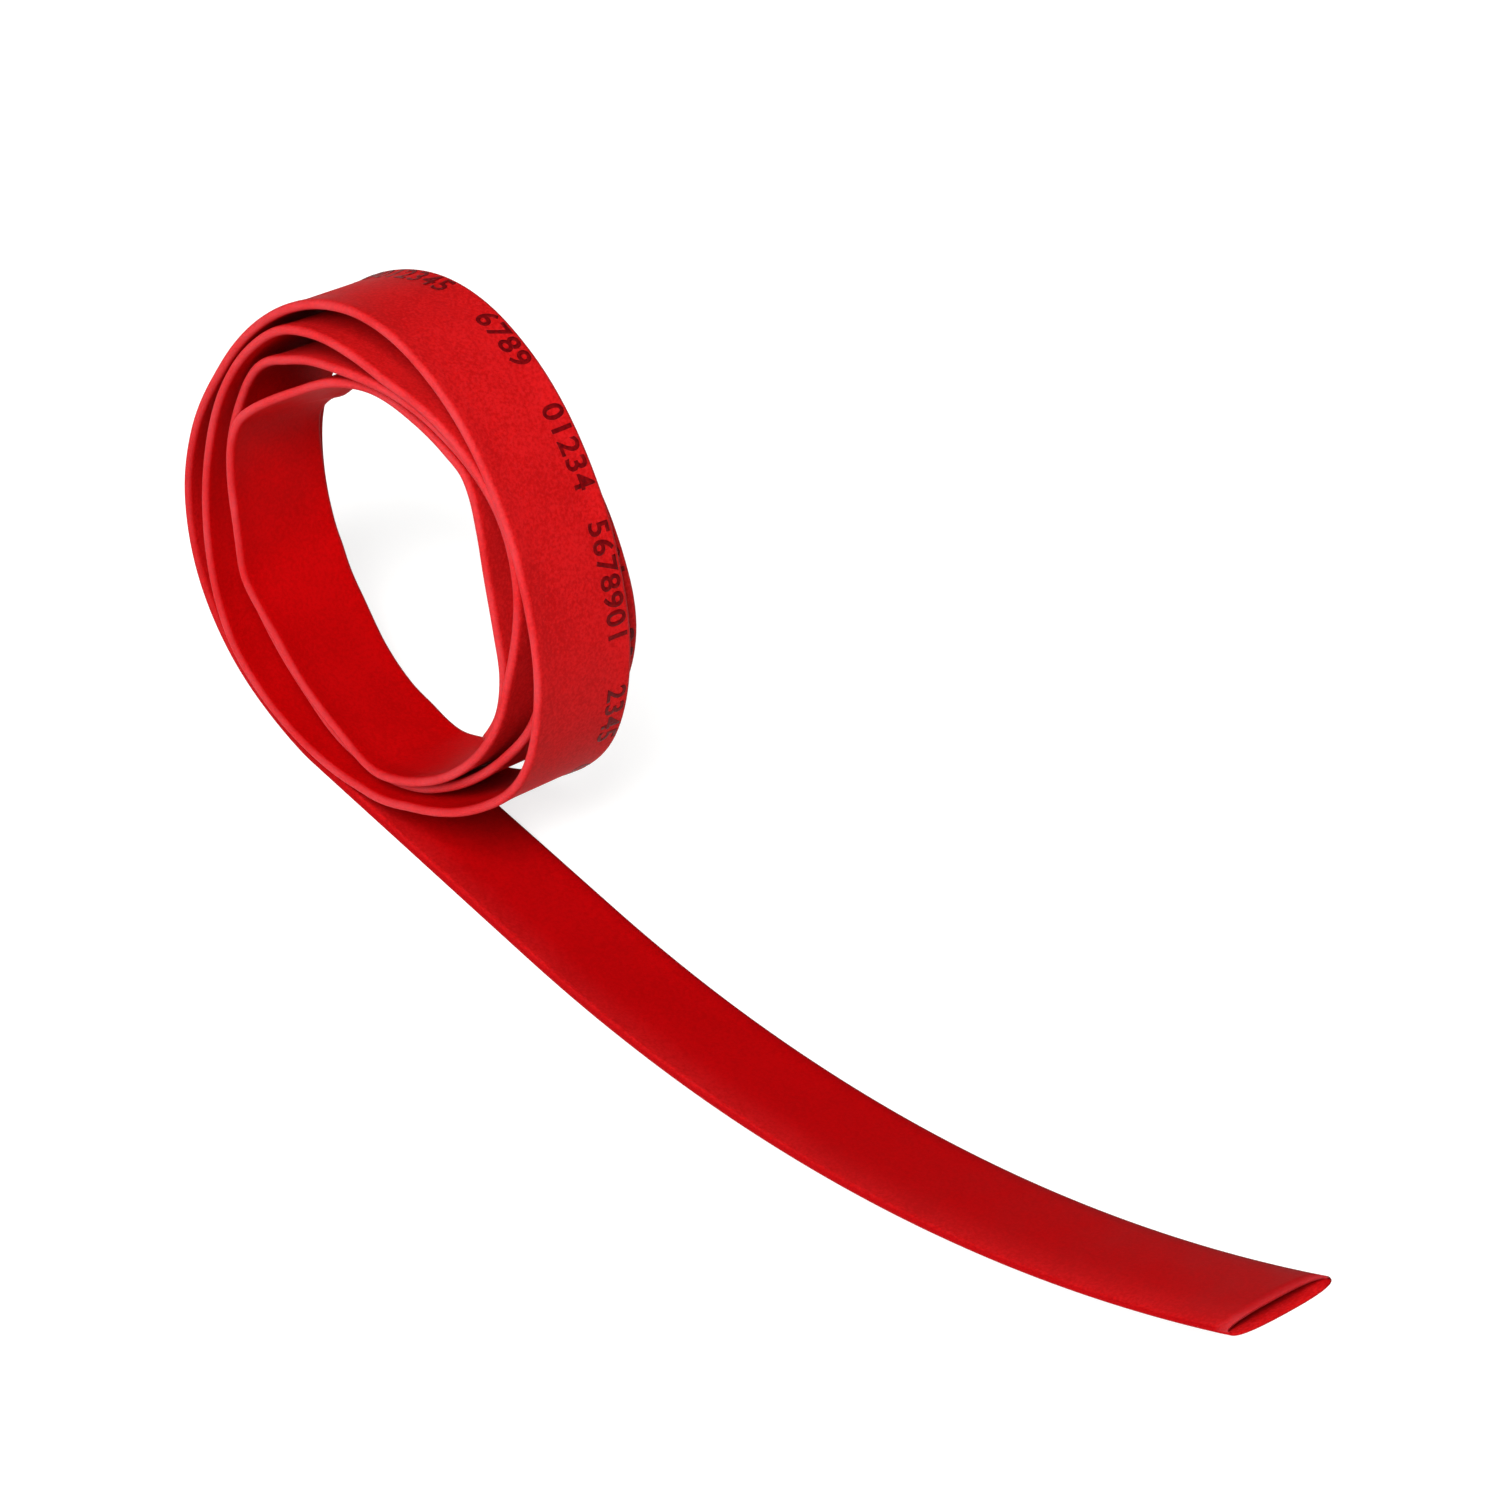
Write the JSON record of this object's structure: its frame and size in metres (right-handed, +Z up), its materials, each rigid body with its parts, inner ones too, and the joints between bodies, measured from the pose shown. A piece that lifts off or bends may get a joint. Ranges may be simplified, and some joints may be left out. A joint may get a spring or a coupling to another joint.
{
  "type": "heat shrink tube",
  "caption": "Length of thin flattened heat shrink tube, wound into a loose roll that stands on its own free tail, both ends open",
  "frame": {"origin": "centre of the bounding box at the base", "axes": "X runs along the tail, Y along the axis of the roll, Z up"},
  "size_m": [0.1946, 0.02, 0.0719],
  "materials": {
    "red_polyolefin": "satin, faintly mottled"
  },
  "bodies": {
    "root": {"heat_shrink_tube": "red_polyolefin"}
  },
  "joints": []
}
